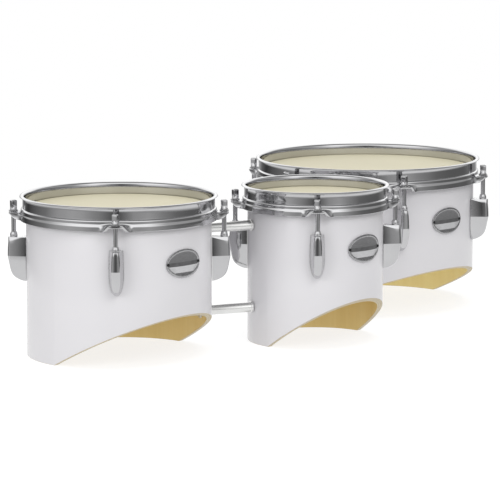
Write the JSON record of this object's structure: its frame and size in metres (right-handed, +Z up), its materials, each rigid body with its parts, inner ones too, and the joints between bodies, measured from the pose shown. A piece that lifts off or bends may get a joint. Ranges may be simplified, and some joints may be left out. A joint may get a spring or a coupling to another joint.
{
  "type": "marching tenor drums",
  "caption": "Row of linked single-headed marching tenor drums with slant-cut white shells, chrome counterhoops, lugs and tension rods that turn.",
  "frame": {"origin": "on the floor, under the middle of the bounding box", "axes": "+X along the row from the smaller outer drum to the larger one, +Y towards the player, +Z up"},
  "size_m": [0.6992, 0.364, 0.1765],
  "materials": {
    "chrome": "polished",
    "steel": "satin",
    "shell_ply": "white gloss outside, clear-sealed bare wood inside",
    "film": "smooth, slightly translucent cream",
    "badge_metal": "satin",
    "black_steel": "satin black"
  },
  "bodies": {
    "drums": {"left_shell": "shell_ply", "left_drumhead": "film", "left_counter_hoop": "chrome", "left_badge": "badge_metal", "left_lug_1": "chrome", "left_swivel_nut_1": "steel", "left_lug_2": "chrome", "left_swivel_nut_2": "steel", "left_lug_3": "chrome", "left_swivel_nut_3": "steel", "left_lug_4": "chrome", "left_swivel_nut_4": "steel", "middle_shell": "shell_ply", "middle_drumhead": "film", "middle_counter_hoop": "chrome", "middle_badge": "badge_metal", "middle_lug_1": "chrome", "middle_swivel_nut_1": "steel", "middle_lug_2": "chrome", "middle_swivel_nut_2": "steel", "middle_lug_3": "chrome", "middle_swivel_nut_3": "steel", "middle_lug_4": "chrome", "middle_swivel_nut_4": "steel", "right_shell": "shell_ply", "right_drumhead": "film", "right_counter_hoop": "chrome", "right_badge": "badge_metal", "right_lug_1": "chrome", "right_swivel_nut_1": "steel", "right_lug_2": "chrome", "right_swivel_nut_2": "steel", "right_lug_3": "chrome", "right_swivel_nut_3": "steel", "right_lug_4": "chrome", "right_swivel_nut_4": "steel", "right_lug_5": "chrome", "right_swivel_nut_5": "steel", "right_lug_6": "chrome", "right_swivel_nut_6": "steel", "left_middle_upper_link_tube": "chrome", "left_middle_lower_link_tube": "chrome", "middle_right_upper_link_tube": "chrome", "middle_right_lower_link_tube": "chrome", "left_carrier_bracket": "black_steel", "right_carrier_bracket": "black_steel"},
    "left_rod_1": {"left_tension_rod_1": "chrome"},
    "left_rod_2": {"left_tension_rod_2": "chrome"},
    "left_rod_3": {"left_tension_rod_3": "chrome"},
    "left_rod_4": {"left_tension_rod_4": "chrome"},
    "middle_rod_1": {"middle_tension_rod_1": "chrome"},
    "middle_rod_2": {"middle_tension_rod_2": "chrome"},
    "middle_rod_3": {"middle_tension_rod_3": "chrome"},
    "middle_rod_4": {"middle_tension_rod_4": "chrome"},
    "right_rod_1": {"right_tension_rod_1": "chrome"},
    "right_rod_2": {"right_tension_rod_2": "chrome"},
    "right_rod_3": {"right_tension_rod_3": "chrome"},
    "right_rod_4": {"right_tension_rod_4": "chrome"},
    "right_rod_5": {"right_tension_rod_5": "chrome"},
    "right_rod_6": {"right_tension_rod_6": "chrome"}
  },
  "joints": [
    {"name": "left_rod_1_turn", "type": "hinge", "parent": "drums", "child": "left_rod_1", "pos_m": [-0.15949, 0.07473, 0.158], "axis": [0, 0, 1], "continuous": true},
    {"name": "left_rod_2_turn", "type": "hinge", "parent": "drums", "child": "left_rod_2", "pos_m": [-0.32255, 0.07473, 0.158], "axis": [0, 0, 1], "continuous": true},
    {"name": "left_rod_3_turn", "type": "hinge", "parent": "drums", "child": "left_rod_3", "pos_m": [-0.32255, -0.08833, 0.158], "axis": [0, 0, 1], "continuous": true},
    {"name": "left_rod_4_turn", "type": "hinge", "parent": "drums", "child": "left_rod_4", "pos_m": [-0.15949, -0.08833, 0.158], "axis": [0, 0, 1], "continuous": true},
    {"name": "middle_rod_1_turn", "type": "hinge", "parent": "drums", "child": "middle_rod_1", "pos_m": [0.03857, -0.03523, 0.158], "axis": [0, 0, 1], "continuous": true},
    {"name": "middle_rod_2_turn", "type": "hinge", "parent": "drums", "child": "middle_rod_2", "pos_m": [-0.08857, -0.03523, 0.158], "axis": [0, 0, 1], "continuous": true},
    {"name": "middle_rod_3_turn", "type": "hinge", "parent": "drums", "child": "middle_rod_3", "pos_m": [-0.08857, -0.16237, 0.158], "axis": [0, 0, 1], "continuous": true},
    {"name": "middle_rod_4_turn", "type": "hinge", "parent": "drums", "child": "middle_rod_4", "pos_m": [0.03857, -0.16237, 0.158], "axis": [0, 0, 1], "continuous": true},
    {"name": "right_rod_1_turn", "type": "hinge", "parent": "drums", "child": "right_rod_1", "pos_m": [0.34252, 0.0287, 0.158], "axis": [0, 0, 1], "continuous": true},
    {"name": "right_rod_2_turn", "type": "hinge", "parent": "drums", "child": "right_rod_2", "pos_m": [0.27217, 0.15055, 0.158], "axis": [0, 0, 1], "continuous": true},
    {"name": "right_rod_3_turn", "type": "hinge", "parent": "drums", "child": "right_rod_3", "pos_m": [0.13147, 0.15055, 0.158], "axis": [0, 0, 1], "continuous": true},
    {"name": "right_rod_4_turn", "type": "hinge", "parent": "drums", "child": "right_rod_4", "pos_m": [0.06112, 0.0287, 0.158], "axis": [0, 0, 1], "continuous": true},
    {"name": "right_rod_5_turn", "type": "hinge", "parent": "drums", "child": "right_rod_5", "pos_m": [0.13147, -0.09315, 0.158], "axis": [0, 0, 1], "continuous": true},
    {"name": "right_rod_6_turn", "type": "hinge", "parent": "drums", "child": "right_rod_6", "pos_m": [0.27217, -0.09315, 0.158], "axis": [0, 0, 1], "continuous": true}
  ]
}
